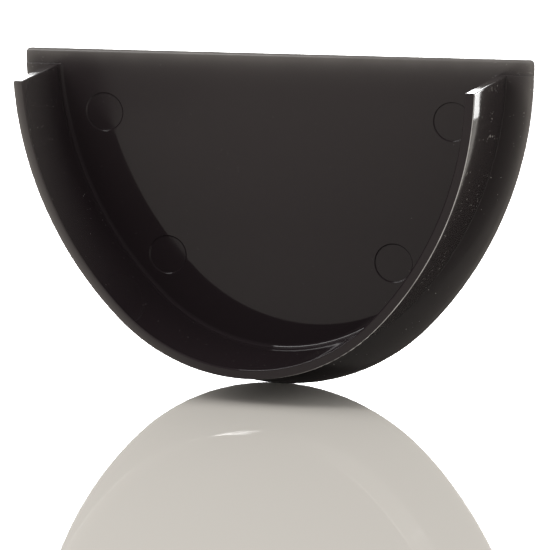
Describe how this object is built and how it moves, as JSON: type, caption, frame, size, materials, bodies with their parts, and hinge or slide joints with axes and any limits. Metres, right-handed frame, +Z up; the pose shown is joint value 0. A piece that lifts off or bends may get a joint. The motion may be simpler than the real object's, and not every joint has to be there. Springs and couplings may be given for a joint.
{
  "type": "gutter end cap",
  "caption": "Black moulded end cap for a deep-flow gutter: a flat plate with a deep rounded outline, and a U-shaped rim on its inner face that goes inside the gutter and closes its end.",
  "frame": {"origin": "middle of the plate's top edge, in the plane of the raised band that the gutter's cut end butts against", "axes": "+X across the gutter, -Y along the gutter, the way the rim goes into it, +Z up as the cap is used"},
  "size_m": [0.123, 0.028, 0.0777],
  "materials": {
    "black_pvc": "gloss, as moulded"
  },
  "bodies": {
    "root": {"end_cap": "black_pvc"}
  },
  "joints": []
}
